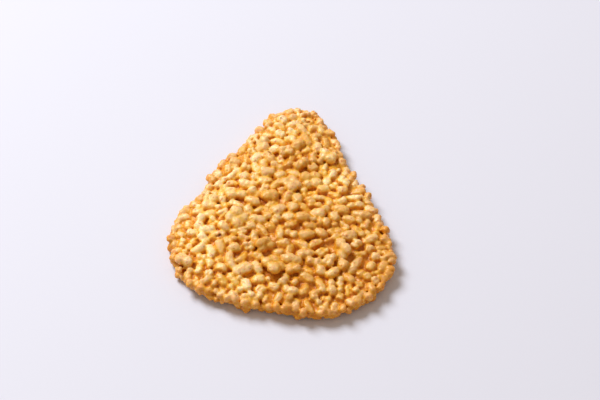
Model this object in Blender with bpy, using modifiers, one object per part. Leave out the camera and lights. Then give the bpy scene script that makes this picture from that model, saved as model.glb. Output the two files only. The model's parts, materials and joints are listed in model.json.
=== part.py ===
"""A fried puffed-rice cracker: one rounded-triangle sheet of puffed grains stuck together.

Metres, +Z up. The sheet lies on the plane Z = 0 with its tip towards +Y and the middle of its
bounding box over the origin. Run it with: blender --background --python part.py
"""

import math
from dataclasses import dataclass

import bmesh
import bpy
import numpy as np
from mathutils import Matrix, Vector

MM = 0.001
SEED = 24

# Outline: a mean radius and the waves that turn a circle into a rounded triangle with its tip at +Y.
MEAN_RADIUS = 42.3 * MM
OUTLINE_WAVES = (  # waves round the edge, height as a share of the radius, bearing of a crest in degrees
    (2, 0.089, 93),
    (3, 0.148, 84),
    (4, 0.030, 88),
    (5, 0.031, 11),
    (6, 0.021, 22),
    (7, 0.025, 30),
    (8, 0.011, 40),
    (9, 0.009, 10),
)

# Form of the sheet: the middle of its thickness arches up, with the crest nearer one long side.
RIM_MIDDLE = 3.3 * MM  # height of the sheet's middle plane at its edge
CREST_RISE = 2.6 * MM
CREST_BEARING = 148  # degrees from +X, across the arch
CREST_OFFSET = 11 * MM  # from the sheet's centre, along that bearing
CREST_NEAR_RUN = 22 * MM  # from the crest down to the nearer side
CREST_FAR_RUN = 52 * MM
RIM_STEEPNESS = 3  # how late the arch falls to the rim: 2 is a bowl, higher is flatter with a rounder edge
SWELL_HEIGHT = 0.45 * MM  # slow unevenness of the whole sheet
SWELL_LENGTH = 31 * MM
RIM_THINNING = 0.36  # share of its thickness that the sheet loses towards its edge
THINNING_STEEPNESS = 5  # how late it thins: higher is nearer the edge

# Starchy core that the grains stick to.
CORE_THICKNESS = 3.1 * MM
CORE_INSET = 2.6 * MM
CORE_STEP = 1.5 * MM

# Grains: an upper and a lower layer, and a row round the rim. Where three sizes are given they are
# the shortest, the usual and the longest.
GRAIN_LENGTH = (3.6 * MM, 5.5 * MM, 9.4 * MM)
GRAIN_WIDTH = (3.0 * MM, 4.0 * MM, 5.2 * MM)
LUMP_SHARE = 0.05  # part of the grains that blew up into a large lump
LUMP_LENGTH = (7.4 * MM, 10.0 * MM)
LUMP_SLIMNESS = (0.7, 0.9)  # a lump's width as a share of its length
HEIGHT_SHARE = 0.86  # height as a share of width
MOST_HEIGHT = 4.6 * MM
GRAIN_SPACE = 23.5 * MM * MM  # part of the sheet that each grain of a layer takes
SINK = (0.7 * MM, 1.7 * MM)  # how deep grains sit in the core
EDGE_SHARE = 0.95  # of a grain's half size that stays inside the outline
TILT = 14  # degrees, nose up or down
RIM_SHRINK = 0.25  # share of their size that grains lose towards the edge
RIM_BAND = (0.72, 0.98)  # where that starts and ends, from 0 at the sheet's centre to 1 at its edge
RIM_LIFT = 0.9 * MM  # rim grains sit this much higher or lower than their neighbours
RIM_PITCH = 2.7 * MM
RIM_INSET = 1.4 * MM
RIM_LENGTH = (2.5 * MM, 4.6 * MM)
RIM_WIDTH = (2.1 * MM, 3.2 * MM)
RIM_TURN = 50  # degrees, how far a rim grain may lie off the line of the edge
CROWDING = 0.99  # how far neighbours sink into each other: 1 is just touching
TRIES_EACH = 12  # scattered spots per grain, of which enough fall inside the outline
SETTLE_STEPS = 90
SETTLE_PACE = 0.35

# Forms of grains, as balls run together: the middle and the radius of each, in half sizes of the grain.
SINGLE = ((0, 0, 0, 1),)
PEANUT = ((-0.4, 0.04, 0.02, 0.62), (0.42, -0.05, 0.03, 0.55))
KNUCKLE = ((-0.55, 0.06, 0, 0.56), (0, -0.05, 0.08, 0.52), (0.52, 0.06, 0, 0.55))
LUMP = ((-0.34, 0.2, 0.1, 0.5), (0.3, 0.3, 0.08, 0.47), (0.36, -0.27, 0.1, 0.5), (-0.2, -0.36, 0.04, 0.45))
PEANUT_SHARE = 0.18
KNUCKLE_SHARE = 0.1

# Surface
VOXEL = 0.7 * MM
SMOOTH_FACTOR = 0.5
SMOOTH_TURNS = 1
KEPT_TRIANGLES = 9400

# Block that trims the lowest grains flat at Z = 0.
GROUND_DEPTH = 20 * MM
GROUND_WIDTH = 200 * MM

GOLDEN = (0.68, 0.31, 0.075, 1.0)


@dataclass
class Grain:
    """One puffed grain: its middle, its full length, width and height, how it is turned and its form."""

    place: Vector
    size: Vector
    heading: float
    tilt: float
    form: tuple


def outline_radius(bearing):
    """Distance from the sheet's centre to its edge at a bearing in radians."""
    waves = 0
    for count, share, crest in OUTLINE_WAVES:
        waves = waves + share * np.cos(count * (bearing - math.radians(crest)))
    return MEAN_RADIUS * (1 + waves)


def edge_share(x, y):
    """How far out a point is: 0 at the sheet's centre, 1 at its edge and beyond."""
    return np.clip(np.hypot(x, y) / outline_radius(np.arctan2(y, x)), 0, 1)


def middle_height(x, y):
    """Height of the middle of the sheet's thickness over a point."""
    across = math.radians(CREST_BEARING)
    from_crest = x * math.cos(across) + y * math.sin(across) - CREST_OFFSET
    run = np.where(from_crest > 0, CREST_NEAR_RUN, CREST_FAR_RUN)
    arch = np.clip(1 - (from_crest / run) ** 2, 0, 1)
    swell = np.sin(math.tau * x / SWELL_LENGTH) * np.cos(math.tau * y / SWELL_LENGTH)
    inside = 1 - edge_share(x, y) ** RIM_STEEPNESS
    return RIM_MIDDLE + inside * (CREST_RISE * arch + SWELL_HEIGHT * swell)


def fullness(x, y):
    """The sheet's thickness at a point as a share of the thickness at its middle."""
    return 1 - RIM_THINNING * edge_share(x, y) ** THINNING_STEEPNESS


def half_size(bearing, heading, length, width):
    """Half the size of an oval grain in the direction of a bearing."""
    turn = bearing - heading
    return 0.5 / np.hypot(np.cos(turn) / length, np.sin(turn) / width)


def settle(rng, length, width):
    """Scatter a layer's grains, then let neighbours push each other apart until they lie side by side."""
    count = len(length)
    spots = rng.uniform(-2 * MEAN_RADIUS, 2 * MEAN_RADIUS, (count * TRIES_EACH, 2))
    spots = spots[edge_share(*spots.T) < 1][:count]
    heading = rng.uniform(0, math.pi, count)
    others = 1 - np.eye(count)
    for _ in range(SETTLE_STEPS):
        gap = spots[:, None] - spots[None]
        distance = np.hypot(gap[..., 0], gap[..., 1]) + np.eye(count)
        toward = np.arctan2(gap[..., 1], gap[..., 0])
        room = half_size(toward, heading[:, None], length[:, None], width[:, None])
        overlap = np.clip(CROWDING * (room + room.T) - distance, 0, None) * others
        spots = spots + SETTLE_PACE * (gap / distance[..., None] * overlap[..., None]).sum(axis=1)
        bearing = np.arctan2(spots[:, 1], spots[:, 0])
        own = EDGE_SHARE * half_size(bearing, heading, length, width)
        limit = (outline_radius(bearing) - own) / np.hypot(spots[:, 0], spots[:, 1])
        spots = spots * np.minimum(1, limit)[:, None]
    return spots, heading


def sheet_area():
    """Area inside the outline, summed over one-degree sectors."""
    bearing = np.radians(np.arange(360))
    return float(0.5 * np.sum(outline_radius(bearing) ** 2) * math.radians(1))


def form_of(draw, lump):
    """The form of a grain from a draw between 0 and 1."""
    if lump:
        return LUMP
    if draw < PEANUT_SHARE:
        return PEANUT
    return KNUCKLE if draw < PEANUT_SHARE + KNUCKLE_SHARE else SINGLE


def layer(rng, side):
    """The grains of the upper (side 1) or lower (side -1) layer."""
    count = round(sheet_area() / GRAIN_SPACE)
    lump = rng.uniform(0, 1, count) < LUMP_SHARE
    length = np.where(lump, rng.uniform(*LUMP_LENGTH, count), rng.triangular(*GRAIN_LENGTH, count))
    slim = length * rng.uniform(*LUMP_SLIMNESS, count)
    width = np.where(lump, slim, np.minimum(length, rng.triangular(*GRAIN_WIDTH, count)))
    spots, heading = settle(rng, length, width)
    x, y = spots.T
    near_rim = np.clip((edge_share(x, y) - RIM_BAND[0]) / (RIM_BAND[1] - RIM_BAND[0]), 0, 1)
    shrunk = 1 - RIM_SHRINK * near_rim**2 * (3 - 2 * near_rim)
    length, width = length * shrunk, width * shrunk
    height = np.minimum(width * HEIGHT_SHARE, MOST_HEIGHT)
    offset = (CORE_THICKNESS / 2 + height / 2 - rng.uniform(*SINK, count)) * fullness(x, y)
    tilt = np.radians(rng.uniform(-TILT, TILT, count))
    draw = rng.uniform(0, 1, count)
    level = middle_height(x, y) + side * offset
    return [
        Grain(
            place=Vector((x[i], y[i], level[i])),
            size=Vector((length[i], width[i], height[i])),
            heading=heading[i],
            tilt=tilt[i],
            form=form_of(draw[i], lump[i]),
        )
        for i in range(count)
    ]


def rim(rng):
    """The grains round the edge, lying along it at the sheet's middle height."""
    grains = []
    bearing = 0.0
    while bearing < math.tau:
        reach = outline_radius(bearing) - RIM_INSET
        height = RIM_MIDDLE + rng.uniform(-RIM_LIFT, RIM_LIFT)
        width = rng.uniform(*RIM_WIDTH)
        off_line = math.radians(rng.uniform(-RIM_TURN, RIM_TURN))
        grains.append(
            Grain(
                place=Vector((reach * math.cos(bearing), reach * math.sin(bearing), height)),
                size=Vector((rng.uniform(*RIM_LENGTH), width, width * HEIGHT_SHARE)),
                heading=bearing + math.pi / 2 + off_line,
                tilt=0,
                form=SINGLE,
            )
        )
        bearing += RIM_PITCH / reach
    return grains


def add_grain(mesh, grain):
    """One grain as the balls of its form, stretched to fill its length, width and height."""
    turn = Matrix.Rotation(grain.heading, 4, "Z") @ Matrix.Rotation(grain.tilt, 4, "Y")
    reach = np.array([[abs(middle) + ball[3] for middle in ball[:3]] for ball in grain.form]).max(axis=0)
    stretch = Matrix.Diagonal((*(size / 2 / most for size, most in zip(grain.size, reach)), 1))
    place = Matrix.Translation(grain.place) @ turn @ stretch
    for ball in grain.form:
        shape = place @ Matrix.Translation(ball[:3]) @ Matrix.Scale(ball[3], 4)
        bmesh.ops.create_icosphere(mesh, subdivisions=2, radius=1, matrix=shape)


def add_core(mesh):
    """The starchy core: a thick sheet of the same outline and arch, a little inside the grains."""
    half_width = 2 * MEAN_RADIUS
    steps = round(2 * half_width / CORE_STEP)
    sheet = bmesh.new()
    bmesh.ops.create_grid(sheet, x_segments=steps, y_segments=steps, size=half_width)
    outside = []
    for vertex in sheet.verts:
        x, y, _ = vertex.co
        vertex.co.z = middle_height(x, y) - CORE_THICKNESS / 2
        if math.hypot(x, y) > outline_radius(math.atan2(y, x)) - CORE_INSET:
            outside.append(vertex)
    bmesh.ops.delete(sheet, geom=outside, context="VERTS")
    bmesh.ops.solidify(sheet, geom=sheet.faces[:], thickness=-CORE_THICKNESS)
    plate = bpy.data.meshes.new("core")
    sheet.to_mesh(plate)
    sheet.free()
    mesh.from_mesh(plate)
    bpy.data.meshes.remove(plate)


def golden_crust():
    """Fried rice: golden and faintly oily."""
    material = bpy.data.materials.new("golden_crust")
    material.use_nodes = True
    shader = material.node_tree.nodes["Principled BSDF"]
    shader.inputs["Base Color"].default_value = GOLDEN
    shader.inputs["Roughness"].default_value = 0.45
    shader.inputs["Metallic"].default_value = 0.0
    return material


def ground_cutter(cutters):
    """A block under the plane Z = 0: the lowest grains end flat on that plane."""
    bpy.ops.mesh.primitive_cube_add(size=1, location=(0, 0, -GROUND_DEPTH / 2))
    block = bpy.context.object
    block.name = "ground_cutter"
    block.scale = (GROUND_WIDTH, GROUND_WIDTH, GROUND_DEPTH)
    block.hide_render = True
    block.display_type = "WIRE"
    for owner in list(block.users_collection):
        owner.objects.unlink(block)
    cutters.objects.link(block)
    return block


def new_collection(name):
    """A collection of the scene."""
    collection = bpy.data.collections.new(name)
    bpy.context.scene.collection.children.link(collection)
    return collection


def rice_cracker(collection, cutter):
    """Grains and core run together into one solid, with the surface eased into the necks between them."""
    rng = np.random.default_rng(SEED)
    raw = bmesh.new()
    for grain in layer(rng, 1) + layer(rng, -1) + rim(rng):
        add_grain(raw, grain)
    add_core(raw)
    mesh = bpy.data.meshes.new("rice_cracker")
    raw.to_mesh(mesh)
    raw.free()
    cracker = bpy.data.objects.new("rice_cracker", mesh)
    collection.objects.link(cracker)
    mesh.materials.append(golden_crust())

    fuse = cracker.modifiers.new("fuse", "REMESH")
    fuse.mode = "VOXEL"
    fuse.voxel_size = VOXEL
    fuse.use_smooth_shade = True
    ease = cracker.modifiers.new("ease", "SMOOTH")
    ease.factor = SMOOTH_FACTOR
    ease.iterations = SMOOTH_TURNS
    lighten = cracker.modifiers.new("lighten", "DECIMATE")
    lighten.use_collapse_triangulate = True
    lighten.ratio = KEPT_TRIANGLES / triangle_count(cracker)
    rest = cracker.modifiers.new("rest", "BOOLEAN")
    rest.operation = "DIFFERENCE"
    rest.solver = "EXACT"
    rest.object = cutter
    return cracker


def triangle_count(item):
    """Triangles of an object as its modifiers leave it."""
    evaluated = item.evaluated_get(bpy.context.evaluated_depsgraph_get())
    mesh = evaluated.to_mesh()
    mesh.calc_loop_triangles()
    count = len(mesh.loop_triangles)
    evaluated.to_mesh_clear()
    return count


def centre_over_origin(item):
    """Slide an object along the ground until the middle of its bounding box is over the origin."""
    evaluated = item.evaluated_get(bpy.context.evaluated_depsgraph_get())
    corners = [item.matrix_world @ Vector(corner) for corner in evaluated.bound_box]
    for axis in (0, 1):
        low = min(corner[axis] for corner in corners)
        high = max(corner[axis] for corner in corners)
        item.location[axis] -= (low + high) / 2


def main():
    for item in list(bpy.data.objects):
        bpy.data.objects.remove(item, do_unlink=True)
    cutter = ground_cutter(new_collection("cutters"))
    cracker = rice_cracker(new_collection("rice_cracker"), cutter)
    centre_over_origin(cracker)


main()
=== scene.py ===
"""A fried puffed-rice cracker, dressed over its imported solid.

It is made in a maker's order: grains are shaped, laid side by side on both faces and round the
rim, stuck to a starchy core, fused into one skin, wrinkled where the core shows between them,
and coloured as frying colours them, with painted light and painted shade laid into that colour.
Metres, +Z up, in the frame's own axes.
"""

from __future__ import annotations

import json
import logging
import math
from dataclasses import dataclass, field
from enum import Enum
from typing import Any

import bmesh
import bpy
import numpy as np
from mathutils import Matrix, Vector, noise

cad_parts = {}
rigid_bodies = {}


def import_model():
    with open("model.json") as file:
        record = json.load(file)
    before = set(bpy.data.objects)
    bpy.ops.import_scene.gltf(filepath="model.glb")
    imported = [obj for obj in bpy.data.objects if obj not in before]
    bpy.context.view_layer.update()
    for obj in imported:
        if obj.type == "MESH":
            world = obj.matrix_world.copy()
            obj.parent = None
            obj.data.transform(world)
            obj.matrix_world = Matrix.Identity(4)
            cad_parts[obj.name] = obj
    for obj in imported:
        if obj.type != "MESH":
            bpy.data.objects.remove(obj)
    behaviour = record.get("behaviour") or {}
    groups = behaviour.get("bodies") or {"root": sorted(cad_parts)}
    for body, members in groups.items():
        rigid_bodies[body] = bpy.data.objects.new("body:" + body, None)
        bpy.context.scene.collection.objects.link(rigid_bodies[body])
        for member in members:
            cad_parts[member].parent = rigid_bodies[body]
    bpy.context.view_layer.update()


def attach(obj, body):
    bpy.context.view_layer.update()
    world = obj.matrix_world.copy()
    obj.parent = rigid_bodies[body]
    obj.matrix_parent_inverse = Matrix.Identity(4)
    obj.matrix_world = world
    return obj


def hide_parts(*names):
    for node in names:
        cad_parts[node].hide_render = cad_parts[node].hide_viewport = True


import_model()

MM = 0.001
NODE = "rice_cracker"

# Short names for the types that come up most. A span is a low and a high value.
Array = np.ndarray
Draws = np.random.Generator
Item = bpy.types.Object
Mesh = bpy.types.Mesh
Socket = bpy.types.NodeSocket
Tree = bpy.types.NodeTree
Span = tuple[float, float]
Triple = tuple[float, float, float]

log = logging.getLogger("rice_cracker")


# ---------------------------------------------------------------- small helpers


def linear(code: str) -> tuple[float, float, float, float]:
    """Turn an sRGB hex colour into linear values.

    Args:
        code: Six hex digits, with or without a leading #.

    Returns:
        Red, green and blue in linear light, and an alpha of 1.
    """
    digits = code.lstrip("#")
    values = [int(digits[i : i + 2], 16) / 255 for i in (0, 2, 4)]
    bright = [v / 12.92 if v <= 0.04045 else ((v + 0.055) / 1.055) ** 2.4 for v in values]
    return (bright[0], bright[1], bright[2], 1.0)


def add(
    tree: Tree,
    kind: str,
    inputs: dict[str | int, Any] | None = None,
    **settings: Any,
) -> bpy.types.Node:
    """Add one node with its settings, and fill or link its inputs.

    Args:
        tree: The node tree that gets the node.
        kind: The node's type name.
        inputs: Socket name or number to a value, or to the output socket it is linked from.
        **settings: The node's own properties.

    Returns:
        The new node.
    """
    node = tree.nodes.new(kind)
    for name, value in settings.items():
        setattr(node, name, value)
    for key, value in (inputs or {}).items():
        if isinstance(value, Socket):
            tree.links.new(value, node.inputs[key])
        else:
            node.inputs[key].default_value = value
    return node


def ease(low: float, high: float, values: Array) -> Array:
    """Smooth step from 0 at low to 1 at high.

    Args:
        low: Where the step starts.
        high: Where it ends.
        values: What is stepped.

    Returns:
        The steps, from 0 to 1.
    """
    share = np.clip((values - low) / (high - low), 0, 1)
    return share * share * (3 - 2 * share)


def coordinates(mesh: Mesh) -> Array:
    """Read where the vertices of a mesh are.

    Args:
        mesh: The mesh.

    Returns:
        One row for each vertex.
    """
    flat = np.empty(len(mesh.vertices) * 3, dtype=np.float32)
    mesh.vertices.foreach_get("co", flat)
    return flat.reshape(-1, 3).astype(float)


def move_vertices(mesh: Mesh, points: Array) -> None:
    """Write new places for all vertices of a mesh."""
    mesh.vertices.foreach_set("co", points.astype(np.float32).ravel())
    mesh.update()


def store(mesh: Mesh, name: str, values: Array) -> None:
    """Keep one number for each vertex of a mesh under a name."""
    layer = mesh.attributes.get(name) or mesh.attributes.new(name, "FLOAT", "POINT")
    layer.data.foreach_set("value", values.astype(np.float32))


def stored(mesh: Mesh, name: str) -> Array:
    """Read one kept number for each vertex of a mesh.

    Args:
        mesh: The mesh.
        name: What the numbers are kept under.

    Returns:
        The numbers, in the order of the vertices.
    """
    values = np.empty(len(mesh.vertices), dtype=np.float32)
    mesh.attributes[name].data.foreach_get("value", values)
    return values.astype(float)


def placed(name: str, data: bpy.types.ID) -> Item:
    """Put an object made of a mesh, a lamp or a lens in the scene.

    Args:
        name: The object's name.
        data: What it is made of.

    Returns:
        The object.
    """
    item = bpy.data.objects.new(name, data)
    bpy.context.scene.collection.objects.link(item)
    return item


def baked(item: Item, name: str) -> Item:
    """Make a plain mesh object of what an object's modifiers give.

    Args:
        item: The object with modifiers.
        name: The new object's name.

    Returns:
        The new object, in the scene's collection.
    """
    graph = bpy.context.evaluated_depsgraph_get()
    mesh = bpy.data.meshes.new_from_object(item.evaluated_get(graph), depsgraph=graph)
    mesh.name = name
    return placed(name, mesh)


def discard(item: Item) -> None:
    """Remove a helper object and its mesh.

    Args:
        item: The object.
    """
    mesh = item.data
    bpy.data.objects.remove(item, do_unlink=True)
    if mesh and mesh.users == 0:
        bpy.data.meshes.remove(mesh)


# ---------------------------------------------------------------- form of the sheet


@dataclass(frozen=True)
class SheetForm:
    """The sheet without its grains: a rounded triangle in plan, gently arched in section."""

    mean_radius: float = 42.3 * MM
    waves: tuple[tuple[int, float, float], ...] = (  # count, share of the radius, crest bearing
        (2, 0.089, 93),
        (3, 0.148, 84),
        (4, 0.030, 88),
        (5, 0.031, 11),
        (6, 0.021, 22),
        (7, 0.025, 30),
        (8, 0.011, 40),
        (9, 0.009, 10),
    )
    rim_middle: float = 3.3 * MM
    crest_rise: float = 2.6 * MM
    crest_bearing: float = 148
    crest_offset: float = 11 * MM
    crest_near_run: float = 22 * MM
    crest_far_run: float = 52 * MM
    rim_steepness: float = 3
    swell_height: float = 0.45 * MM
    swell_length: float = 31 * MM
    rim_thinning: float = 0.36
    thinning_steepness: float = 5
    core_thickness: float = 3.1 * MM
    core_inset: float = 2.6 * MM
    core_step: float = 1.0 * MM

    def radius(self, bearing: Array) -> Array:
        """Distance from the sheet's centre to its edge.

        Args:
            bearing: Bearings from the centre, in radians.

        Returns:
            The distance at each bearing.
        """
        waves = np.zeros_like(np.asarray(bearing, dtype=float))
        for count, share, crest in self.waves:
            waves = waves + share * np.cos(count * (bearing - math.radians(crest)))
        return self.mean_radius * (1 + waves)

    def edge_share(self, x: Array, y: Array) -> Array:
        """How far out points are: 0 at the sheet's centre, 1 at its edge."""
        return np.hypot(x, y) / self.radius(np.arctan2(y, x))

    def half_width(self) -> float:
        """Half the side of a square round the whole outline, with room to spare."""
        return 2 * self.mean_radius

    def area(self) -> float:
        """Area inside the outline, summed over one-degree sectors."""
        bearing = np.radians(np.arange(360))
        return float(0.5 * np.sum(self.radius(bearing) ** 2) * math.radians(1))

    def middle(self, x: Array, y: Array) -> Array:
        """Height of the middle of the sheet's thickness over points.

        Args:
            x: Places along X, from the sheet's centre.
            y: Places along Y.

        Returns:
            Heights over the ground.
        """
        across = math.radians(self.crest_bearing)
        from_crest = x * math.cos(across) + y * math.sin(across) - self.crest_offset
        run = np.where(from_crest > 0, self.crest_near_run, self.crest_far_run)
        arch = np.clip(1 - (from_crest / run) ** 2, 0, 1)
        swell = np.sin(math.tau * x / self.swell_length) * np.cos(math.tau * y / self.swell_length)
        inside = 1 - np.clip(self.edge_share(x, y), 0, 1) ** self.rim_steepness
        return self.rim_middle + inside * (self.crest_rise * arch + self.swell_height * swell)

    def fullness(self, x: Array, y: Array) -> Array:
        """The sheet's thickness as a share of its middle's, less towards the rim."""
        out = np.clip(self.edge_share(x, y), 0, 1)
        return 1 - self.rim_thinning * out**self.thinning_steepness

    def core(self) -> Mesh:
        """The starchy core that the grains stick to, as one thick closed sheet.

        Returns:
            The core's mesh.
        """
        half_width = self.half_width()
        steps = round(2 * half_width / self.core_step)
        sheet = bmesh.new()
        bmesh.ops.create_grid(sheet, x_segments=steps, y_segments=steps, size=half_width)
        points = np.array([vertex.co[:] for vertex in sheet.verts])
        reach = np.hypot(points[:, 0], points[:, 1])
        edge = self.radius(np.arctan2(points[:, 1], points[:, 0])) - self.core_inset
        height = self.middle(points[:, 0], points[:, 1]) - self.core_thickness / 2
        outside = []
        for vertex, level, out in zip(sheet.verts, height, reach > edge):
            vertex.co.z = level
            if out:
                outside.append(vertex)
        bmesh.ops.delete(sheet, geom=outside, context="VERTS")
        bmesh.ops.solidify(sheet, geom=sheet.faces[:], thickness=-self.core_thickness)
        mesh = bpy.data.meshes.new("core")
        sheet.to_mesh(mesh)
        sheet.free()
        return mesh


# ---------------------------------------------------------------- grains


class GrainKind(Enum):
    """The forms that puffed grains take, in the order of their variants."""

    PEANUT = 0
    KNUCKLE = 1
    PLUMP = 2
    EGG = 3
    KIDNEY = 4
    LUMPY = 5
    GROOVED = 6
    DENTED = 7
    BURST = 8


# What the grains pass on to the skin.
GRAIN_COLOURS = ("tint", "toast", "burst")

KIND_SHARES: dict[GrainKind, float] = {
    GrainKind.PEANUT: 0.18,
    GrainKind.KNUCKLE: 0.10,
    GrainKind.PLUMP: 0.18,
    GrainKind.EGG: 0.17,
    GrainKind.KIDNEY: 0.13,
    GrainKind.LUMPY: 0.14,
    GrainKind.GROOVED: 0.035,
    GrainKind.DENTED: 0.045,
    GrainKind.BURST: 0.02,
}

BELOW_ONE = 0.9999  # keeps the highest draw inside the last share

Lobes = tuple[tuple[float, float, float, float], ...]

# The middle and the radius of each lobe of the grains that blew up in several places.
LOBES: dict[GrainKind, Lobes] = {
    GrainKind.PEANUT: ((-0.4, 0.04, 0.02, 0.62), (0.42, -0.05, 0.03, 0.55)),
    GrainKind.KNUCKLE: (
        (-0.55, 0.06, 0.0, 0.56),
        (0.0, -0.05, 0.08, 0.52),
        (0.52, 0.06, 0.0, 0.55),
    ),
    GrainKind.LUMPY: (
        (-0.34, 0.2, 0.1, 0.5),
        (0.3, 0.3, 0.08, 0.47),
        (0.36, -0.27, 0.1, 0.5),
        (-0.2, -0.36, 0.04, 0.45),
    ),
}

# The width of the mouth, the depth and the browning of the grains that have a hole.
HOLES: dict[GrainKind, Triple] = {
    GrainKind.DENTED: (0.3, 0.32, 0.4),
    GrainKind.BURST: (0.28, 0.48, 1.0),
}


@dataclass(frozen=True)
class GrainShapes:
    """One mesh for each form of puffed grain, a ball of radius 1 pushed into shape."""

    detail: int = 4
    seed: int = 5
    bluntness: float = 3.0
    blunt_limit: float = 0.999
    bulge_count: int = 3
    bulge_height: float = 0.07
    bulge_share: Span = (0.5, 1)
    bulge_width: Span = (0.32, 0.55)
    egg_taper: float = 0.2
    kidney_bend: float = 0.42
    kidney_level: float = 0.4
    kidney_slimness: float = 0.9
    groove_width: float = 0.17
    groove_depth: float = 0.16
    groove_rise: Span = (0.0, 0.5)
    groove_ends: Span = (1.0, 0.7)
    groove_browning: float = 0.3
    hole_offset: float = 0.22
    hole_slimness: float = 1.2
    hole_raggedness: float = 0.3
    ragged_pitch: float = 3.2
    hole_edge: Span = (0.4, 1.25)
    scorch_edge: Span = (0.5, 2.1)

    def bulges(self, points: Array, rng: Draws) -> Array:
        """Swell a ball with a few soft bulges where the starch blew up most.

        Args:
            points: Rows of the ball's points.
            rng: Where the random bulges come from.

        Returns:
            A factor for each point's distance from the middle.
        """
        grown = np.ones(len(points))
        for _ in range(self.bulge_count):
            middle = rng.normal(size=3)
            middle = middle / np.linalg.norm(middle)
            width = rng.uniform(*self.bulge_width)
            away = np.linalg.norm(points - middle, axis=1)
            height = self.bulge_height * rng.uniform(*self.bulge_share)
            grown += height * np.exp(-((away / width) ** 2))
        return grown

    def lobed(self, points: Array, lobes: Lobes) -> Array:
        """Several balls run together, as where a grain blew up in more than one place.

        Args:
            points: Rows of the ball's points.
            lobes: The middle and the radius of each lobe, all round the ball's own middle.

        Returns:
            The new points, filling a box from -1 to 1.
        """
        reach = np.zeros(len(points))
        for *middle, radius in lobes:
            along = points @ np.array(middle)
            inner = radius**2 - float(np.dot(middle, middle)) + along**2
            reach = np.maximum(reach, along + np.sqrt(np.maximum(inner, 0)))
        out = points * reach[:, None]
        return out / np.abs(out).max(axis=0)

    def shaped(self, kind: GrainKind, points: Array, rng: Draws) -> tuple[Array, Array]:
        """Push a ball's points into one kind of grain.

        Args:
            kind: The form wanted.
            points: Rows of the ball's points.
            rng: Where the random unevenness comes from.

        Returns:
            The new points, and how deep each lies in a burst or a dent, from 0 to 1.
        """
        x, y, z = points.T
        deep = np.zeros(len(points))
        out = points * self.bulges(points, rng)[:, None]
        inside = np.clip(np.abs(x), 0, self.blunt_limit)
        out[:, 1:] *= np.sqrt((1 - inside**self.bluntness) / (1 - inside**2))[:, None]
        if kind in LOBES:
            out = self.lobed(points, LOBES[kind])
        elif kind is GrainKind.EGG:
            out[:, 1:] *= (1 - self.egg_taper * x)[:, None]
        elif kind is GrainKind.KIDNEY:
            out[:, 1] += self.kidney_bend * (x * x - self.kidney_level)
            out[:, 1:] *= self.kidney_slimness
        elif kind is GrainKind.GROOVED:
            groove = np.exp(-((y / self.groove_width) ** 2)) * ease(*self.groove_rise, z)
            groove = groove * ease(*self.groove_ends, np.abs(x))
            out *= (1 - self.groove_depth * groove)[:, None]
            deep = self.groove_browning * groove
        elif kind in HOLES:
            mouth, depth, browning = HOLES[kind]
            ragged = np.array([noise.noise(Vector(p) * self.ragged_pitch) for p in points])
            away = np.hypot(x - self.hole_offset, y * self.hole_slimness)
            away = away + self.hole_raggedness * ragged
            hole, scorched = (
                np.where(z > 0, 1 - ease(mouth * inner, mouth * outer, away), 0)
                for inner, outer in (self.hole_edge, self.scorch_edge)
            )
            out[:, 2] -= depth * hole
            deep = browning * scorched
        return out, deep

    def build(self) -> bpy.types.Collection:
        """Make every kind of grain in one collection, in the order of the kinds.

        Returns:
            The collection.
        """
        rng = np.random.default_rng(self.seed)
        shelf = bpy.data.collections.new("grain_shapes")
        bpy.context.scene.collection.children.link(shelf)
        for kind in GrainKind:
            form = bmesh.new()
            bmesh.ops.create_icosphere(form, subdivisions=self.detail, radius=1)
            mesh = bpy.data.meshes.new(kind.name.lower())
            form.to_mesh(mesh)
            form.free()
            points, deep = self.shaped(kind, coordinates(mesh), rng)
            move_vertices(mesh, points)
            store(mesh, "burst", deep)
            grain = bpy.data.objects.new(f"grain_{kind.value:02d}_{kind.name.lower()}", mesh)
            shelf.objects.link(grain)
        return shelf


@dataclass
class GrainTable:
    """Rows of grains: where each lies, its size, how it is turned, its kind and its colour."""

    place: Array
    size: Array
    turn: Array
    kind: Array
    tint: Array
    toast: Array

    @staticmethod
    def joined(tables: list[GrainTable]) -> GrainTable:
        """Several tables of grains as one."""
        names = ("place", "size", "turn", "kind", "tint", "toast")
        return GrainTable(*(np.concatenate([getattr(t, name) for t in tables]) for name in names))

    def points(self, name: str) -> Item:
        """The grains as loose points that carry their sizes, turns, kinds and colours.

        Args:
            name: The object's name.

        Returns:
            An object with one vertex for each grain.
        """
        mesh = bpy.data.meshes.new(name)
        mesh.from_pydata([tuple(p) for p in self.place], [], [])
        for title, rows in (("grain_size", self.size), ("grain_turn", self.turn)):
            layer = mesh.attributes.new(title, "FLOAT_VECTOR", "POINT")
            layer.data.foreach_set("vector", rows.astype(np.float32).ravel())
        kinds = mesh.attributes.new("grain_kind", "INT", "POINT")
        kinds.data.foreach_set("value", self.kind.astype(np.int32))
        store(mesh, "tint", self.tint)
        store(mesh, "toast", self.toast)
        return placed(name, mesh)


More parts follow.
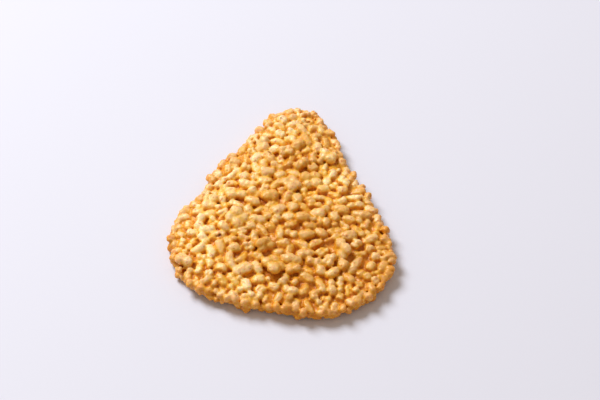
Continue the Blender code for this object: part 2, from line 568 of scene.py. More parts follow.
@dataclass
class GrainLayout:
    """How the grains lie: two faces and a row round the rim, settled side by side."""

    form: SheetForm
    seed: int = 24
    length: Triple = (3.6 * MM, 5.5 * MM, 9.4 * MM)
    width: Triple = (3.0 * MM, 4.0 * MM, 5.2 * MM)
    lump_share: float = 0.05
    lump_length: Span = (7.4 * MM, 10.0 * MM)
    lump_slimness: Span = (0.7, 0.9)
    height_share: float = 0.86
    most_height: float = 4.6 * MM
    space: float = 23.5 * MM * MM
    sink: Span = (0.7 * MM, 1.7 * MM)
    edge_share: float = 0.95
    rim_shrink: float = 0.25
    rim_band: Span = (0.72, 0.98)
    lift: float = 0.9 * MM
    tilt: float = 14
    roll: float = 0.7
    rim_pitch: float = 2.7 * MM
    rim_inset: float = 1.4 * MM
    rim_length: Span = (2.5 * MM, 4.6 * MM)
    rim_width: Span = (2.1 * MM, 3.2 * MM)
    rim_turn: float = 50
    rim_toast: Span = (0.3, 1)
    crowding: float = 0.99
    tries_each: int = 12
    settle_steps: int = 90
    settle_pace: float = 0.35
    crumb_tries: int = 7000
    crumb_spares: int = 4
    crumb_count: int = 110
    crumb_gap: float = 1.5 * MM
    crumb_size: Span = (2.0 * MM, 3.4 * MM)
    crumb_growth: Span = (0.9, 1.8)
    crumb_slimness: Span = (0.7, 1.0)
    crumb_lift: Span = (0.45, 0.95)
    crumb_edge: float = 0.985
    crumb_toast: Span = (0.2, 1)
    rng: Draws = field(init=False)
    looks: Draws = field(init=False)

    def __post_init__(self) -> None:
        """Start the random draws, one run for where the grains lie and one for how they look."""
        self.rng = np.random.default_rng(self.seed)
        self.looks = np.random.default_rng(self.seed + 1)

    @staticmethod
    def half_size(bearing: Array, heading: Array, length: Array, width: Array) -> Array:
        """Half the size of an oval grain in the direction of a bearing."""
        turn = bearing - heading
        return 0.5 / np.hypot(np.cos(turn) / length, np.sin(turn) / width)

    def settle(self, length: Array, width: Array) -> tuple[Array, Array]:
        """Scatter a face's grains, then let them push each other apart to lie side by side.

        Args:
            length: The grains' lengths.
            width: The grains' widths.

        Returns:
            The grains' places on the sheet and their headings.
        """
        form = self.form
        count = len(length)
        spread = form.half_width()
        spots = self.rng.uniform(-spread, spread, (count * self.tries_each, 2))
        spots = spots[form.edge_share(spots[:, 0], spots[:, 1]) < 1][:count]
        heading = self.rng.uniform(0, math.pi, count)
        others = 1 - np.eye(count)
        for _ in range(self.settle_steps):
            gap = spots[:, None] - spots[None]
            distance = np.hypot(gap[..., 0], gap[..., 1]) + np.eye(count)
            toward = np.arctan2(gap[..., 1], gap[..., 0])
            room = self.half_size(toward, heading[:, None], length[:, None], width[:, None])
            overlap = np.clip(self.crowding * (room + room.T) - distance, 0, None) * others
            push = (gap / distance[..., None] * overlap[..., None]).sum(axis=1)
            spots = spots + self.settle_pace * push
            bearing = np.arctan2(spots[:, 1], spots[:, 0])
            own = self.edge_share * self.half_size(bearing, heading, length, width)
            limit = (form.radius(bearing) - own) / np.hypot(spots[:, 0], spots[:, 1])
            spots = spots * np.minimum(1, limit)[:, None]
        return spots, heading

    @staticmethod
    def kinds(draws: Array) -> Array:
        """The kinds that draws from 0 to 1 stand for, by the kinds' shares."""
        ends = np.cumsum(list(KIND_SHARES.values()))
        return np.searchsorted(ends, draws * BELOW_ONE, side="right")

    def face(self, side: int) -> GrainTable:
        """The grains of one face, with crumbs in the gaps between them.

        Args:
            side: 1 for the upper face, -1 for the underside.

        Returns:
            The face's grains and crumbs.
        """
        count = round(self.form.area() / self.space)
        lump = self.rng.uniform(0, 1, count) < self.lump_share
        lump_length = self.rng.uniform(*self.lump_length, count)
        length = np.where(lump, lump_length, self.rng.triangular(*self.length, count))
        lump_width = length * self.rng.uniform(*self.lump_slimness, count)
        width = np.minimum(length, self.rng.triangular(*self.width, count))
        width = np.where(lump, lump_width, width)
        spots, heading = self.settle(length, width)
        x, y = spots.T
        smaller = 1 - self.rim_shrink * ease(*self.rim_band, self.form.edge_share(x, y))
        length, width = length * smaller, width * smaller
        height = np.minimum(width * self.height_share, self.most_height)
        sunk = self.rng.uniform(*self.sink, count)
        offset = (self.form.core_thickness / 2 + height / 2 - sunk) * self.form.fullness(x, y)
        tilt = np.radians(self.rng.uniform(-self.tilt, self.tilt, count))
        kind = self.kinds(self.rng.uniform(0, 1, count))
        kind[lump] = GrainKind.LUMPY.value
        roll = self.looks.uniform(-self.roll, self.roll, count) + (0 if side > 0 else math.pi)
        flip = self.looks.integers(0, 2, count) * math.pi
        grains = GrainTable(
            place=np.column_stack((spots, self.form.middle(x, y) + side * offset)),
            size=np.column_stack((length, width, height)) / 2,
            turn=np.column_stack((roll, tilt, heading + flip)),
            kind=kind,
            tint=self.looks.uniform(0, 1, count),
            toast=self.looks.uniform(0, 1, count) ** 2,
        )
        return GrainTable.joined([grains, self.crumbs(side, spots, heading, length, width)])

    def crumbs(
        self, side: int, spots: Array, heading: Array, length: Array, width: Array
    ) -> GrainTable:
        """Small bits that fill the widest gaps between a face's grains.

        Args:
            side: 1 for the upper face, -1 for the underside.
            spots: The grains' places on the sheet.
            heading: The grains' headings.
            length: The grains' lengths.
            width: The grains' widths.

        Returns:
            The crumbs.
        """
        form = self.form
        spread = form.half_width()
        tries = self.looks.uniform(-spread, spread, (self.crumb_tries * self.crumb_spares, 2))
        inside = form.edge_share(tries[:, 0], tries[:, 1]) < self.crumb_edge
        tries = tries[inside][: self.crumb_tries]
        gap = tries[:, None] - spots[None]
        toward = np.arctan2(gap[..., 1], gap[..., 0])
        room = np.hypot(gap[..., 0], gap[..., 1]) - self.half_size(toward, heading, length, width)
        room = room.min(axis=1)
        chosen: list[int] = []
        for index in np.argsort(-room):
            near = tries[chosen] - tries[index]
            if not chosen or np.hypot(near[:, 0], near[:, 1]).min() > self.crumb_gap:
                chosen.append(int(index))
            if len(chosen) == self.crumb_count:
                break
        x, y = tries[chosen].T
        count = len(chosen)
        growth = self.looks.uniform(*self.crumb_growth, count) * MM
        size = np.clip(2 * room[chosen] + growth, *self.crumb_size)
        lift = self.looks.uniform(*self.crumb_lift, count)
        offset = form.core_thickness * form.fullness(x, y) * lift
        shape = self.looks.uniform(*self.crumb_slimness, (count, 2))
        return GrainTable(
            place=np.column_stack((x, y, form.middle(x, y) + side * offset)),
            size=np.column_stack((size, size * shape[:, 0], size * shape[:, 1])) / 2,
            turn=self.looks.uniform(0, math.tau, (count, 3)),
            kind=self.looks.integers(GrainKind.PLUMP.value, GrainKind.KIDNEY.value, count),
            tint=self.looks.uniform(0, 1, count),
            toast=self.looks.uniform(*self.crumb_toast, count),
        )

    def rim(self) -> GrainTable:
        """The grains round the edge, lying along it at the sheet's middle height.

        Returns:
            The rim's grains.
        """
        places, sizes, turns = [], [], []
        bearing = 0.0
        while bearing < math.tau:
            reach = float(self.form.radius(np.array(bearing))) - self.rim_inset
            height = self.form.rim_middle + self.rng.uniform(-self.lift, self.lift)
            width = self.rng.uniform(*self.rim_width)
            off_line = math.radians(self.rng.uniform(-self.rim_turn, self.rim_turn))
            places.append((reach * math.cos(bearing), reach * math.sin(bearing), height))
            length = self.rng.uniform(*self.rim_length)
            sizes.append((length / 2, width / 2, width * self.height_share / 2))
            turns.append((self.looks.uniform(0, math.tau), 0.0, bearing + math.pi / 2 + off_line))
            bearing += self.rim_pitch / reach
        count = len(places)
        return GrainTable(
            place=np.array(places),
            size=np.array(sizes),
            turn=np.array(turns),
            kind=self.kinds(self.looks.uniform(0, 1, count)),
            tint=self.looks.uniform(0, 1, count),
            toast=self.looks.uniform(*self.rim_toast, count),
        )


# ---------------------------------------------------------------- geometry node trees


def new_tree(name: str, inputs: dict[str, str]) -> Tree:
    """Start a tree that takes a geometry and named inputs, and gives a geometry.

    Args:
        name: The tree's name.
        inputs: Input name to the kind of its socket, such as Float.

    Returns:
        The geometry node tree, still without nodes.
    """
    tree = bpy.data.node_groups.new(name, "GeometryNodeTree")
    for title, kind in {"Geometry": "Geometry", **inputs, "Finish": "Material"}.items():
        tree.interface.new_socket(title, in_out="INPUT", socket_type=f"NodeSocket{kind}")
    tree.interface.new_socket("Geometry", in_out="OUTPUT", socket_type="NodeSocketGeometry")
    return tree


def end_tree(tree: Tree, geometry: Socket, finish: Socket) -> None:
    """End a tree in real mesh with its material on.

    Args:
        tree: The geometry node tree.
        geometry: What the tree has made.
        finish: The material.
    """
    real = add(tree, "GeometryNodeRealizeInstances", {"Geometry": geometry})
    coated = add(tree, "GeometryNodeSetMaterial", {"Geometry": real.outputs[0], "Material": finish})
    add(tree, "NodeGroupOutput", {0: coated.outputs[0]})


def scatter_tree(shelf: bpy.types.Collection) -> Tree:
    """Make the tree that sets a grain of the right kind, size and turn on every point.

    Args:
        shelf: The collection that holds one object for each kind of grain.

    Returns:
        The geometry node tree.
    """
    tree = new_tree("set_grains", {"Grain Scale": "Float"})
    start = add(tree, "NodeGroupInput")
    kinds = add(
        tree,
        "GeometryNodeCollectionInfo",
        {"Collection": shelf, "Separate Children": True, "Reset Children": True},
    )
    kind, size, turn = (
        add(tree, "GeometryNodeInputNamedAttribute", {"Name": name}, data_type=data).outputs[0]
        for name, data in (
            ("grain_kind", "INT"),
            ("grain_size", "FLOAT_VECTOR"),
            ("grain_turn", "FLOAT_VECTOR"),
        )
    )
    scaled = {0: size, "Scale": start.outputs["Grain Scale"]}
    scale = add(tree, "ShaderNodeVectorMath", scaled, operation="SCALE")
    rotation = add(tree, "FunctionNodeEulerToRotation", {0: turn})
    instances = add(
        tree,
        "GeometryNodeInstanceOnPoints",
        {
            "Points": start.outputs["Geometry"],
            "Instance": kinds.outputs[0],
            "Pick Instance": True,
            "Instance Index": kind,
            "Rotation": rotation.outputs[0],
            "Scale": scale.outputs[0],
        },
    )
    end_tree(tree, instances.outputs[0], start.outputs["Finish"])
    return tree


def set_inputs(modifier: bpy.types.NodesModifier, values: dict[str, Any]) -> None:
    """Set a geometry node modifier's inputs by their sockets' identifiers.

    Args:
        modifier: The modifier, with its tree.
        values: Input name to value.
    """
    for item in modifier.node_group.interface.items_tree:
        if item.item_type == "SOCKET" and item.in_out == "INPUT" and item.name in values:
            modifier[item.identifier] = values[item.name]


def skin_tree() -> Tree:
    """Make the tree that gives a fused skin its grains' colours, its hollows and its wrinkles.

    Returns:
        The geometry node tree.
    """
    tree = new_tree(
        "dress_skin",
        {
            "Grains": "Object",
            "Hollow Reach": "Int",
            "Wrinkle Size": "Float",
            "Wrinkle Height": "Float",
            "Dimple Size": "Float",
            "Dimple Height": "Float",
        },
    )
    start = add(tree, "NodeGroupInput")
    place = add(tree, "GeometryNodeInputPosition").outputs[0]
    normal = add(tree, "GeometryNodeInputNormal").outputs[0]
    grains = add(
        tree,
        "GeometryNodeObjectInfo",
        {"Object": start.outputs["Grains"]},
        transform_space="RELATIVE",
    )
    kept = {}
    for name in GRAIN_COLOURS:
        value = add(tree, "GeometryNodeInputNamedAttribute", {"Name": name}, data_type="FLOAT")
        near = add(
            tree,
            "GeometryNodeSampleNearestSurface",
            {"Mesh": grains.outputs["Geometry"], "Value": value.outputs[0]},
            data_type="FLOAT",
        )
        softly = {0: near.outputs[0], "Iterations": 2}
        soft = add(tree, "GeometryNodeBlurAttribute", softly, data_type="FLOAT")
        kept[name] = soft.outputs[0]
    widely = {0: place, "Iterations": start.outputs["Hollow Reach"]}
    even = add(tree, "GeometryNodeBlurAttribute", widely, data_type="FLOAT_VECTOR")
    away = add(tree, "ShaderNodeVectorMath", {0: even.outputs[0], 1: place}, operation="SUBTRACT")
    sunk = {0: away.outputs[0], 1: normal}
    hollow = add(tree, "ShaderNodeVectorMath", sunk, operation="DOT_PRODUCT")
    kept["hollow"] = hollow.outputs["Value"]
    parts = add(tree, "ShaderNodeSeparateXYZ", {0: normal})
    # How far each place faces up or down; the finish pales such faces with it, as painted light.
    upright = add(tree, "ShaderNodeMath", {0: parts.outputs["Z"]}, operation="ABSOLUTE")
    kept["upright"] = upright.outputs[0]
    skin = start.outputs["Geometry"]
    for name, value in kept.items():
        keep = add(
            tree,
            "GeometryNodeStoreNamedAttribute",
            {"Geometry": skin, "Name": name, "Value": value},
            data_type="FLOAT",
            domain="POINT",
        )
        skin = keep.outputs[0]
    film = add(tree, "GeometryNodeInputNamedAttribute", {"Name": "film"}, data_type="FLOAT")
    moves = []
    for form, share in (("Wrinkle", film.outputs[0]), ("Dimple", 1.0)):
        size = {0: 1.0, 1: start.outputs[f"{form} Size"]}
        pitch = add(tree, "ShaderNodeMath", size, operation="DIVIDE").outputs[0]
        waves = add(
            tree,
            "ShaderNodeTexNoise",
            {"Vector": place, "Scale": pitch, "Detail": 2.0, "Roughness": 0.45},
        )
        move = waves.outputs[0]
        for operation, other in (
            ("ADD", -0.5),
            ("MULTIPLY", start.outputs[f"{form} Height"]),
            ("MULTIPLY", share),
        ):
            move = add(tree, "ShaderNodeMath", {0: move, 1: other}, operation=operation).outputs[0]
        moves.append(move)
    total = add(tree, "ShaderNodeMath", {0: moves[0], 1: moves[1]}, operation="ADD")
    outwards = {0: normal, "Scale": total.outputs[0]}
    push = add(tree, "ShaderNodeVectorMath", outwards, operation="SCALE")
    moved = add(tree, "GeometryNodeSetPosition", {"Geometry": skin, "Offset": push.outputs[0]})
    end_tree(tree, moved.outputs[0], start.outputs["Finish"])
    return tree


# ---------------------------------------------------------------- finish


class Join(Enum):
    """How a step of the finish makes its value from what goes in."""

    EASE = "SMOOTHSTEP"
    ADD = "ADD"
    SUBTRACT = "SUBTRACT"
    MULTIPLY = "MULTIPLY"


# Values kept on the skin: "hollow" is a depth in metres, the rest run from about 0 to 1.
KEPT_VALUES = ("crown", "tint", "toast", "burst", "film", "rim", "browning", "low", "hollow")

# Name, size across and detail of each unevenness. The skin's real pores are finer than
# "pores", which is drawn as coarse as it needs to be to show.
PATCHES: tuple[tuple[str, float, float], ...] = (
    ("mottle", 1.6 * MM, 2.0),
    ("drift", 11 * MM, 1.0),
    ("blotch", 14 * MM, 2.0),
    ("speck", 0.8 * MM, 1.0),
    ("crackle", 0.9 * MM, 2.0),
    ("crinkle", 1.1 * MM, 2.0),
    ("pores", 0.45 * MM, 3.0),
)

# Each step names its value, how it is made, and what goes in: values named before it, or
# numbers. EASE takes a value, the range it is read over, and the range it is mapped to.
STEPS: tuple[tuple[str | float | Join, ...], ...] = (
    ("mottled", Join.EASE, "mottle", 0.3, 0.7, -0.12, 0.12),
    ("own", Join.EASE, "tint", 0.0, 1.0, -0.16, 0.12),
    ("drifting", Join.EASE, "drift", 0.3, 0.7, -0.35, 0.35),
    # Random drift over the sheet's darkening, which is darker towards the middle and paler towards
    # one side as painted light.
    ("slow", Join.ADD, "browning", "drifting"),
    # Low places are lifted on the paler side and sunk elsewhere: painted light and painted shade.
    ("darkened", Join.EASE, "slow", 0.1, 1.4, 0.1, -0.26),
    ("below", Join.SUBTRACT, 1.0, "crown"),
    ("fried", Join.MULTIPLY, "darkened", "below"),
    ("height", Join.ADD, "crown", "fried"),
    ("varied", Join.ADD, "mottled", "own"),
    # The ramp's input, which carries painted light and painted shade as well as browning.
    ("shade", Join.ADD, "height", "varied"),
    ("tanned", Join.EASE, "tint", 0.5, 0.0, 0.0, 0.22),
    ("yellowed", Join.EASE, "toast", 0.3, 1.0, 0.0, 0.22),
    ("blotchy", Join.EASE, "blotch", 0.4, 0.65, 0.0, 0.6),
    ("blotched", Join.MULTIPLY, "blotchy", "toast"),
    # Toasted where the sheet runs dark: random toast, and painted shade away from the paler side.
    ("browned_and_shaded", Join.EASE, "slow", 0.2, 1.1, 0.0, 0.4),
    # Paler where the sheet runs light: random, and painted light on the paler side.
    ("spared_and_lit", Join.EASE, "slow", 0.3, -0.2, 0.0, 0.08),
    # Amber towards the rim: the small rim grains fry browner, and part of it is painted shade along
    # the edge.
    ("rim_browned_and_shaded", Join.EASE, "rim", 0.86, 1.02, 0.0, 0.48),
    # Amber near the ground: painted shade and warm bounce underneath.
    ("under_shade", Join.MULTIPLY, "low", 0.62),
    ("specked", Join.EASE, "speck", 0.62, 0.72, 0.0, 0.5),
    ("flat", Join.EASE, "crown", 0.45, 0.12, 0.0, 1.0),
    ("crackly", Join.EASE, "crackle", 0.42, 0.6, 0.0, 0.6),
    ("crackled", Join.MULTIPLY, "flat", "crackly"),
    # Brown in the creases: the starch there fries browner, and part of it is painted shade.
    ("creased_and_shaded", Join.EASE, "hollow", 0.1 * MM, 0.27 * MM, 0.0, 0.7),
    ("scorched", Join.EASE, "burst", 0.2, 0.85, 0.0, 1.0),
    ("gloss", Join.EASE, "film", 0.0, 1.0, 0.36, 0.5),
)


@dataclass(frozen=True)
class FriedRice:
    """Glutinous rice puffed and fried: a crisp golden skin with a thin coat of oil.

    The tops of the grains stay creamy and their flanks are golden; part of this is painted light,
    as places that stand high and face up or down are coloured paler. The starch that ran between
    them fries darkest: it crackles to a paler crust where it lies flat, and is brown in the
    creases, where painted shade darkens it further. The skin is also painted darker towards the rim
    and near the ground as painted shade, and paler towards one side of the sheet as painted light.
    The insides of burst grains are scorched. Light goes a little way into the puffed starch and
    comes out warm, and the oil gives a soft, warm gloss.
    """

    # The palest tone also paints light on the high tops and on the paler side.
    pale: str = "#FFEFD0"
    cream: str = "#FBE5B2"
    light: str = "#F5D374"
    gold: str = "#EDB932"
    # Also laid on as painted shade at the rim and near the ground.
    amber: str = "#E09600"
    brown: str = "#C66A00"
    # Also laid on as painted shade away from the paler side.
    toasted: str = "#CC962E"
    yellow: str = "#F4BE48"
    tan: str = "#E6B77E"
    oil: str = "#FFE4AC"
    scorch: str = "#8C4812"
    crust: str = "#E0A642"
    # Brown for the creases, partly painted shade.
    crease: str = "#B85C00"

    def build(self) -> bpy.types.Material:
        """Make the material.

        Returns:
            The material, for both faces and the rim.
        """
        material = bpy.data.materials.new("fried_puffed_rice")
        material.use_nodes = True
        tree = material.node_tree
        tree.nodes.clear()
        values = self.values(tree)
        colour = self.colour(tree, values)
        relief = None
        for name, strength, distance in (("crinkle", 0.5, 0.16 * MM), ("pores", 0.3, 0.05 * MM)):
            bump = {"Strength": strength, "Distance": distance, "Height": values[name]}
            if relief is not None:
                bump["Normal"] = relief
            relief = add(tree, "ShaderNodeBump", bump).outputs[0]
        shader = add(
            tree,
            "ShaderNodeBsdfPrincipled",
            {
                "Base Color": colour,
                "Roughness": values["gloss"],
                "IOR": 1.46,
                "Specular IOR Level": 0.3,
                "Subsurface Weight": 0.38,
                "Subsurface Radius": (1.0, 0.4, 0.1),
                "Subsurface Scale": 1.9 * MM,
                "Coat Weight": 0.52,
                "Coat Roughness": 0.36,
                "Coat Tint": linear(self.oil),
                "Specular Tint": linear(self.oil),
                "Normal": relief,
            },
        )
        add(tree, "ShaderNodeOutputMaterial", {"Surface": shader.outputs[0]})
        return material

    def values(self, tree: Tree) -> dict[str, Socket]:
        """Gather what the skin keeps and its unevenness, and take the steps from them.

        Args:
            tree: The material's tree.

        Returns:
            Each value's name to its socket.
        """
        values: dict[str, Socket] = {}
        for name in KEPT_VALUES:
            kept = {"attribute_type": "GEOMETRY", "attribute_name": name}
            values[name] = add(tree, "ShaderNodeAttribute", **kept).outputs["Fac"]
        place = add(tree, "ShaderNodeTexCoord").outputs["Object"]
        for name, size, detail in PATCHES:
            noisy = {"Vector": place, "Scale": 0.5 / size, "Detail": detail}
            values[name] = add(tree, "ShaderNodeTexNoise", noisy).outputs[0]
        for name, join, *given in STEPS:
            inputs = {
                slot: values[item] if isinstance(item, str) else item
                for slot, item in enumerate(given)
            }
            if join is Join.EASE:
                node = add(tree, "ShaderNodeMapRange", inputs, interpolation_type=join.value)
            else:
                node = add(tree, "ShaderNodeMath", inputs, operation=join.value)
            values[name] = node.outputs[0]
        return values

    def colour(self, tree: Tree, values: dict[str, Socket]) -> Socket:
        """Colour the skin from its creases to its crowns, and lay each browning over that. The ramp
        and several of the layers carry painted light and painted shade.

        Args:
            tree: The material's tree.
            values: Each value's name to its socket.

        Returns:
            The colour's socket.
        """
        # Brown in the lowest ranks to pale in the highest: partly real browning, with painted shade
        # in the hollows and painted light on the high, up-facing tops.
        ramp = add(tree, "ShaderNodeValToRGB", {0: values["shade"]})
        stops = (
            (0.0, self.brown),
            (0.13, self.amber),
            (0.3, self.gold),
            (0.5, self.light),
            (0.72, self.cream),
            (0.94, self.pale),
        )
        elements = ramp.color_ramp.elements
        while len(elements) < len(stops):
            elements.new(0.5)
        for element, (position, code) in zip(elements, stops):
            element.position = position
            element.color = linear(code)
        colour = ramp.outputs[0]
        for name, code in (
            ("tanned", self.tan),
            ("yellowed", self.yellow),
            ("blotched", self.toasted),
            # Toasted by the sheet's darkening: random toast and painted shade.
            ("browned_and_shaded", self.toasted),
            # Pale by the sheet's darkening: random, and painted light.
            ("spared_and_lit", self.pale),
            # Amber at the rim: browning, partly painted shade.
            ("rim_browned_and_shaded", self.amber),
            # Painted shade near the ground.
            ("under_shade", self.amber),
            ("specked", self.brown),
            ("crackled", self.crust),
            # Crease brown: browning and painted shade.
            ("creased_and_shaded", self.crease),
            ("scorched", self.scorch),
        ):
            layer = {0: values[name], 6: colour, 7: linear(code)}
            colour = add(tree, "ShaderNodeMix", layer, data_type="RGBA").outputs[2]
        return colour


# ---------------------------------------------------------------- the cracker


@dataclass
class FusedSheet:
    """Grains and core run together into one closed skin."""

    form: SheetForm
    name: str
    voxel: float = 0.36 * MM
    smoothing: float = 0.5
    smooth_turns: int = 2
    hollow_reach: int = 9
    wrinkle_size: float = 0.75 * MM
    wrinkle_height: float = 0.5 * MM
    dimple_size: float = 1.3 * MM
    dimple_height: float = 1.15 * MM
    most_triangles: int = 195000
    sliver: float = 0.002 * MM
    # The skin is painted paler towards one side of the sheet, where the light falls: painted light.
    # It is also darker towards the middle.
    lit_side_bearing: float = 82
    browning_level: float = 0.42
    inner_darkening: float = 0.85
    lit_side_slope: float = 0.5
    inner_range: Span = (0.8, 0.25)
    # Heights over which the painted shade underneath fades out.
    under_shade_range: Span = (4.5 * MM, 1.0 * MM)
    film_range: Span = (1.2 * MM, 2.0 * MM)
    side_share: float = 0.6
    relief_weight: float = 0.4
    relief_range: Span = (1.2 * MM, 4.0 * MM)
    hollow_weight: float = 0.4
    hollow_range: Span = (0.5 * MM, -0.35 * MM)
    # How much faces turned up or down are paled: painted light.
    upright_light_weight: float = 0.2
    upright_light_range: Span = (0.2, 1.0)

    def build(self, grains: Item, finish: bpy.types.Material) -> Item:
        """Fuse the grains to the core, trim what is under the ground and dress the skin.

        Args:
            grains: The grains as one loose mesh with their colours.
            finish: The material.

        Returns:
            The finished piece.
        """
        fused = self.fuse(grains)
        self.measure(fused.data)
        dress = fused.modifiers.new("dress", "NODES")
        dress.node_group = skin_tree()
        set_inputs(
            dress,
            {
                "Grains": grains,
                "Hollow Reach": self.hollow_reach,
                "Wrinkle Size": self.wrinkle_size,
                "Wrinkle Height": self.wrinkle_height,
                "Dimple Size": self.dimple_size,
                "Dimple Height": self.dimple_height,
                "Finish": finish,
            },
        )
        lighten = fused.modifiers.new("lighten", "DECIMATE")
        lighten.use_collapse_triangulate = True
        lighten.ratio = min(1.0, self.most_triangles / (2 * len(fused.data.polygons)))
        log.info("fused skin: %d faces", len(fused.data.polygons))
        piece = baked(fused, self.name)
        discard(fused)
        self.close(piece.data)
        points = coordinates(piece.data)
        low = points.min(axis=0)
        high = points.max(axis=0)
        points[:, :2] -= (low[:2] + high[:2]) / 2
        points[:, 2] = np.maximum(points[:, 2], 0)
        move_vertices(piece.data, points)
        piece.data.shade_smooth()
        self.crown(piece.data)
        return piece

    def fuse(self, grains: Item) -> Item:
        """Run the grains and the core together.

        Args:
            grains: The grains as one loose mesh.

        Returns:
            The fused skin, softened, without its colours.
        """
        raw = bmesh.new()
        raw.from_mesh(grains.data)
        core = self.form.core()
        raw.from_mesh(core)
        bpy.data.meshes.remove(core)
        mesh = bpy.data.meshes.new("raw_sheet")
        raw.to_mesh(mesh)
        raw.free()
        for layer in list(mesh.attributes):
            if layer.name in GRAIN_COLOURS:
                mesh.attributes.remove(layer)
        rough = placed("raw_sheet", mesh)
        remesh = rough.modifiers.new("fuse", "REMESH")
        remesh.mode = "VOXEL"
        remesh.voxel_size = self.voxel
        remesh.use_smooth_shade = True
        soften = rough.modifiers.new("soften", "SMOOTH")
        soften.factor = self.smoothing
        soften.iterations = self.smooth_turns
        fused = baked(rough, "fused_sheet")
        discard(rough)
        return fused

    def close(self, mesh: Mesh) -> None:
        """Keep the one outer skin, without slivers or the tiny bubbles shut in under it.

        Args:
            mesh: The thinned skin.
        """
        shell = bmesh.new()
        shell.from_mesh(mesh)
        bmesh.ops.remove_doubles(shell, verts=shell.verts, dist=self.sliver)
        waiting = set(shell.verts)
        outer: set[bmesh.types.BMVert] = set()
        while len(waiting) > len(outer):
            island: set[bmesh.types.BMVert] = set()
            frontier = [waiting.pop()]
            while frontier:
                vertex = frontier.pop()
                island.add(vertex)
                for edge in vertex.link_edges:
                    other = edge.other_vert(vertex)
                    if other in waiting:
                        waiting.remove(other)
                        frontier.append(other)
            outer = max(outer, island, key=len)
        stray = [vertex for vertex in shell.verts if vertex not in outer]
        bmesh.ops.delete(shell, geom=stray, context="VERTS")
        gaps = [edge for edge in shell.edges if edge.is_boundary]
        bmesh.ops.holes_fill(shell, edges=gaps, sides=0)
        broad = [face for face in shell.faces if len(face.verts) > 3]
        bmesh.ops.triangulate(shell, faces=broad)
        bmesh.ops.recalc_face_normals(shell, faces=shell.faces)
        open_edges = sum(not edge.is_manifold for edge in shell.edges)
        log.info("closed skin: %d triangles, %d open edges", len(shell.faces), open_edges)
        shell.to_mesh(mesh)
        shell.free()

    def crown(self, mesh: Mesh) -> None:
        """Store how far up and out each vertex stands, as its rank over all the skin. The colour
        read from this rank holds painted shade in the hollows, beside the starch there frying
        browner, and painted light on faces turned up or down.

        Args:
            mesh: The finished skin, with its relief, its hollows and how upright it faces.
        """
        # High, outward and up-facing places rank high and are coloured paler: partly real, as the
        # starch in hollows fries browner, and partly painted shade in the hollows and painted light
        # on up-facing faces.
        score = (
            self.relief_weight * ease(*self.relief_range, stored(mesh, "relief"))
            + self.hollow_weight * ease(*self.hollow_range, stored(mesh, "hollow"))
            + self.upright_light_weight * ease(*self.upright_light_range, stored(mesh, "upright"))
        )
        triangles = np.empty(len(mesh.loop_triangles) * 3, dtype=np.int32)
        areas = np.empty(len(mesh.loop_triangles), dtype=np.float32)
        mesh.loop_triangles.foreach_get("vertices", triangles)
        mesh.loop_triangles.foreach_get("area", areas)
        share = np.bincount(triangles, weights=np.repeat(areas, 3), minlength=len(score))
        order = np.argsort(score)
        rank = np.empty(len(score))
        rank[order] = np.cumsum(share[order]) / share.sum()
        store(mesh, "crown", rank)

    def measure(self, mesh: Mesh) -> None:
        """Store each vertex's height over the core, nearness to the rim, darkening and nearness to
        the ground. The darkening rises towards the middle and falls towards one side of the sheet,
        which paints the light that falls on that side; nearness to the ground feeds painted shade.

        Args:
            mesh: The fused skin, still about the sheet's own centre.
        """
        form = self.form
        x, y, z = coordinates(mesh).T
        out = form.edge_share(x, y)
        beyond = np.hypot(x, y) - form.radius(np.arctan2(y, x)) + 2 * form.core_inset
        beside = np.maximum(beyond, 0) * self.side_share
        above = np.hypot(z - form.middle(x, y), beside) / form.fullness(x, y)
        # Paler towards one side of the sheet: painted light.
        lit_side = math.radians(self.lit_side_bearing)
        slope = (x * math.cos(lit_side) + y * math.sin(lit_side)) / form.mean_radius
        inner = self.inner_darkening * ease(*self.inner_range, out)
        store(mesh, "relief", above)
        store(mesh, "rim", out)
        store(mesh, "browning", self.browning_level - self.lit_side_slope * slope + inner)
        # Nearness to the ground, for the painted shade underneath.
        store(mesh, "low", ease(*self.under_shade_range, z))
        store(mesh, "film", 1 - ease(*self.film_range, above))


@dataclass
class Cracker:
    """The whole cracker: its form, its grains and its fried skin."""

    form: SheetForm = field(default_factory=SheetForm)
    shapes: GrainShapes = field(default_factory=GrainShapes)
    finish: FriedRice = field(default_factory=FriedRice)

    def build(self) -> list[Item]:
        """Lay out the grains, fuse them and hand the skin to the frame.

        Returns:
            The finished pieces.
        """
        layout = GrainLayout(self.form)
        upper = layout.face(1)
        lower = layout.face(-1)
        table = GrainTable.joined([upper, lower, layout.rim()])
        shelf = self.shapes.build()
        material = self.finish.build()
        points = table.points("grain_points")
        scatter = points.modifiers.new("set_grains", "NODES")
        scatter.node_group = scatter_tree(shelf)
        set_inputs(scatter, {"Grain Scale": 1.0, "Finish": material})
        grains = baked(points, "loose_grains")
        discard(points)
        skin = FusedSheet(self.form, "fused_grains").build(grains, material)
        discard(grains)
        for shape in list(shelf.objects):
            discard(shape)
        bpy.data.collections.remove(shelf)
        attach(skin, "root")
        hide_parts(NODE)
        return [skin]


# ---------------------------------------------------------------- studio


@dataclass(frozen=True)
class MattBoard:
    """White painted board: matt, so it takes a soft shadow and mirrors nothing."""

    white: str = "#DCE1F3"
    roughness: float = 0.7

    def build(self) -> bpy.types.Material:
        """Make the material.

        Returns:
            The material, for the table top.
        """
        material = bpy.data.materials.new("matt_white_board")
        material.use_nodes = True
        shader = material.node_tree.nodes["Principled BSDF"]
        shader.inputs["Base Color"].default_value = linear(self.white)
        shader.inputs["Roughness"].default_value = self.roughness
        return material


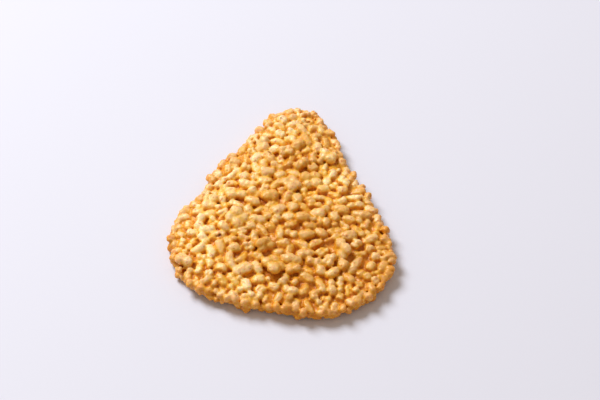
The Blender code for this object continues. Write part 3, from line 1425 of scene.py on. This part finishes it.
@dataclass(frozen=True)
class Studio:
    """A pale table, one large soft light from behind on the left, and the camera."""

    lens: float = 110
    distance: float = 0.697
    elevation: float = 52
    aim: Triple = (6.9 * MM, 4.1 * MM, 4.0 * MM)
    sensor_width: float = 36
    clip_start: float = 0.01
    board: MattBoard = MattBoard()
    table_size: float = 6.0
    key_bearing: float = 135
    key_elevation: float = 48
    key_distance: float = 1.6
    key_size: float = 0.8
    key_power: float = 25.6
    sky: str = "#FFEAD2"
    sky_strength: float = 0.45

    def build(self) -> None:
        """Set up the table, the lights and the camera."""
        self.floor()
        self.key()
        self.ambient()
        self.camera()

    def floor(self) -> None:
        """The table top."""
        bpy.ops.mesh.primitive_plane_add(size=self.table_size)
        top = bpy.context.object
        top.name = "table_top"
        top.data.materials.append(self.board.build())

    def key(self) -> None:
        """The large soft light."""
        bearing = math.radians(self.key_bearing)
        height = math.radians(self.key_elevation)
        flat = math.cos(height)
        away = Vector((math.cos(bearing) * flat, math.sin(bearing) * flat, math.sin(height)))
        lamp = bpy.data.lights.new("window", "AREA")
        lamp.shape = "DISK"
        lamp.size = self.key_size
        lamp.energy = self.key_power
        item = placed("window", lamp)
        item.location = away * self.key_distance
        item.rotation_euler = away.to_track_quat("Z", "Y").to_euler()

    def ambient(self) -> None:
        """Soft light from all round."""
        world = bpy.data.worlds.new("soft_room")
        world.use_nodes = True
        background = world.node_tree.nodes["Background"]
        background.inputs["Color"].default_value = linear(self.sky)
        background.inputs["Strength"].default_value = self.sky_strength
        bpy.context.scene.world = world
        bpy.context.scene.view_settings.view_transform = "Standard"

    def camera(self) -> None:
        """The camera, looking down over the broad end."""
        up = math.radians(self.elevation)
        back = Vector((0, -math.cos(up), math.sin(up)))
        lens = bpy.data.cameras.new("camera")
        lens.lens = self.lens
        lens.sensor_width = self.sensor_width
        lens.clip_start = self.clip_start
        item = placed("camera", lens)
        item.location = Vector(self.aim) + back * self.distance
        item.rotation_euler = back.to_track_quat("Z", "Y").to_euler()
        bpy.context.scene.camera = item


def main() -> None:
    """Build the cracker and the studio, and report each piece."""
    logging.basicConfig(level=logging.INFO, format="%(message)s")
    for piece in Cracker().build():
        piece.data.calc_loop_triangles()
        log.info("%s: %d triangles", piece.name, len(piece.data.loop_triangles))
    Studio().build()


if __name__ == "__main__":
    main()
